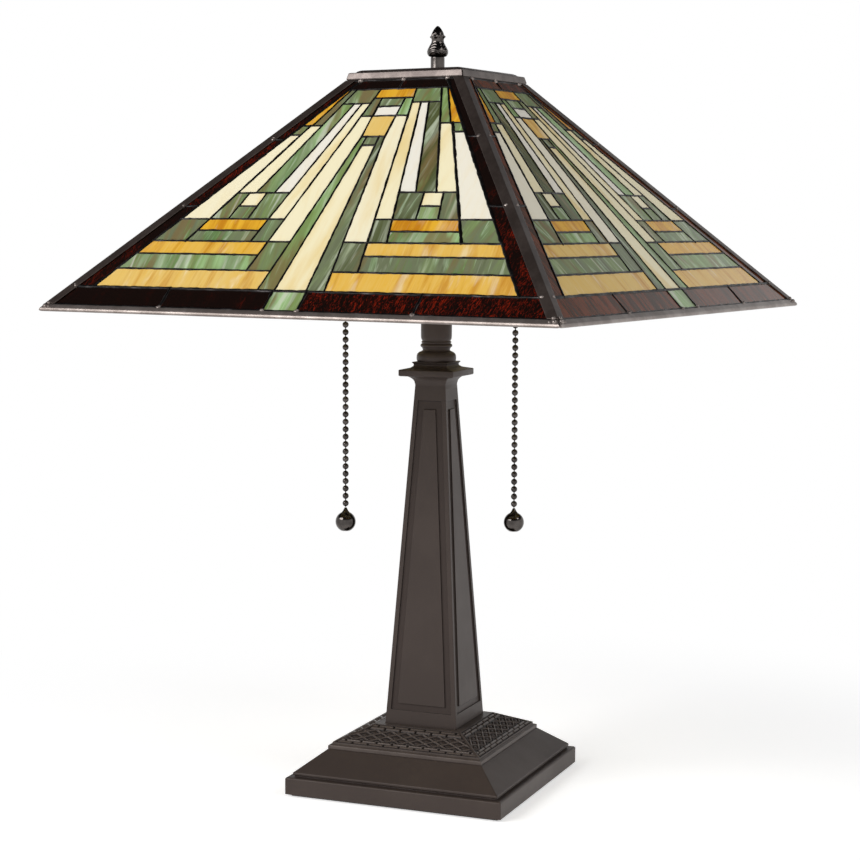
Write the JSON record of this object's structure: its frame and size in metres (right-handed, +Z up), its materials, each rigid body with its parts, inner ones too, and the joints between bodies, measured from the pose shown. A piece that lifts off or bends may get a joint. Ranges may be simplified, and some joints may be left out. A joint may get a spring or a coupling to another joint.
{
  "type": "stained glass table lamp",
  "caption": "Table lamp with a square pyramid shade of leaded stained glass over a tapered square bronze column and stepped base, with pull-chain switches and an acorn finial.",
  "frame": {"origin": "middle of the foot, on the surface the lamp stands on", "axes": "+Z up along the column and rod, -Y towards the front of the base, +X to the right seen from the front"},
  "size_m": [0.459, 0.459, 0.5573],
  "materials": {
    "bronze_casting": "satin dark bronze",
    "came_metal": "dark patina over solder, dull sheen",
    "art_glass": "streaky opalescent art glass",
    "dark_nickel": "polished dark nickel",
    "aged_brass": "dull aged brass",
    "zinc_steel": "zinc plated",
    "cast_iron": "rough casting",
    "felt": "pressed felt",
    "phenolic": "moulded, dull",
    "insulating_card": "fibre card",
    "rubber": "matte",
    "bulb_glass": "soft white frosted glass"
  },
  "bodies": {
    "lamp_body": {"felt_pad": "felt", "base_weight": "cast_iron", "base_plinth": "bronze_casting", "cord_bushing": "rubber", "base_collar": "bronze_casting", "column": "bronze_casting", "capital": "bronze_casting", "neck": "bronze_casting", "lamp_rod": "zinc_steel", "rod_washer": "zinc_steel", "rod_nut": "zinc_steel", "cluster_body": "aged_brass", "arm_left": "aged_brass", "arm_right": "aged_brass", "riser_rod": "zinc_steel", "shade_seat": "zinc_steel", "seat_nut": "zinc_steel", "left_socket_cap": "aged_brass", "left_socket_shell": "aged_brass", "left_socket_liner": "insulating_card", "left_socket_interior": "phenolic", "left_screw_shell": "aged_brass", "left_chain_guide": "aged_brass", "right_socket_cap": "aged_brass", "right_socket_shell": "aged_brass", "right_socket_liner": "insulating_card", "right_socket_interior": "phenolic", "right_screw_shell": "aged_brass", "right_chain_guide": "aged_brass"},
    "shade": {"glass_front": "art_glass", "bottom_rim_front": "came_metal", "top_rim_front": "came_metal", "hip_bar_front_right": "came_metal", "glass_right": "art_glass", "bottom_rim_right": "came_metal", "top_rim_right": "came_metal", "hip_bar_back_right": "came_metal", "glass_back": "art_glass", "bottom_rim_back": "came_metal", "top_rim_back": "came_metal", "hip_bar_back_left": "came_metal", "glass_left": "art_glass", "bottom_rim_left": "came_metal", "top_rim_left": "came_metal", "hip_bar_front_left": "came_metal", "shade_cap": "came_metal"},
    "finial": {"finial_base": "dark_nickel", "finial": "dark_nickel"},
    "left_bulb": {"left_bulb_base": "zinc_steel", "left_bulb_glass": "bulb_glass"},
    "left_switch": {"left_switch_chain": "dark_nickel"},
    "left_coupling": {"left_chain_coupling": "dark_nickel"},
    "left_pull": {"left_bead_chain": "dark_nickel", "left_pull_ball": "dark_nickel"},
    "right_bulb": {"right_bulb_base": "zinc_steel", "right_bulb_glass": "bulb_glass"},
    "right_switch": {"right_switch_chain": "dark_nickel"},
    "right_coupling": {"right_chain_coupling": "dark_nickel"},
    "right_pull": {"right_bead_chain": "dark_nickel", "right_pull_ball": "dark_nickel"}
  },
  "joints": [
    {"name": "shade_turn", "type": "hinge", "parent": "lamp_body", "child": "shade", "pos_m": [0, 0, 0.522], "axis": [0, 0, 1], "continuous": true},
    {"name": "finial_turn", "type": "hinge", "parent": "lamp_body", "child": "finial", "pos_m": [0, 0, 0.53], "axis": [0, 0, 1], "continuous": true},
    {"name": "left_bulb_turn", "type": "hinge", "parent": "lamp_body", "child": "left_bulb", "pos_m": [-0.05684, -0.02296, 0.41], "axis": [0, 0, 1], "continuous": true},
    {"name": "left_chain_pull", "type": "slide", "parent": "lamp_body", "child": "left_switch", "axis": [0, 0, -1], "range_m": [0, 0.01], "stiffness_N_per_m": 800, "springref_m": -0.004},
    {"name": "left_chain_swing_fore", "type": "hinge", "parent": "left_switch", "child": "left_coupling", "pos_m": [-0.05197, -0.04646, 0.3737], "axis": [1, 0, 0], "range_deg": [-20, 20]},
    {"name": "left_chain_swing_side", "type": "hinge", "parent": "left_coupling", "child": "left_pull", "pos_m": [-0.05197, -0.04646, 0.3617], "axis": [0, 1, 0], "range_deg": [-8, 25]},
    {"name": "right_bulb_turn", "type": "hinge", "parent": "lamp_body", "child": "right_bulb", "pos_m": [0.05684, 0.02296, 0.41], "axis": [0, 0, 1], "continuous": true},
    {"name": "right_chain_pull", "type": "slide", "parent": "lamp_body", "child": "right_switch", "axis": [0, 0, -1], "range_m": [0, 0.01], "stiffness_N_per_m": 800, "springref_m": -0.004},
    {"name": "right_chain_swing_fore", "type": "hinge", "parent": "right_switch", "child": "right_coupling", "pos_m": [0.0617, -0.00054, 0.3737], "axis": [1, 0, 0], "range_deg": [-20, 20]},
    {"name": "right_chain_swing_side", "type": "hinge", "parent": "right_coupling", "child": "right_pull", "pos_m": [0.0617, -0.00054, 0.3617], "axis": [0, 1, 0], "range_deg": [-25, 8]}
  ]
}
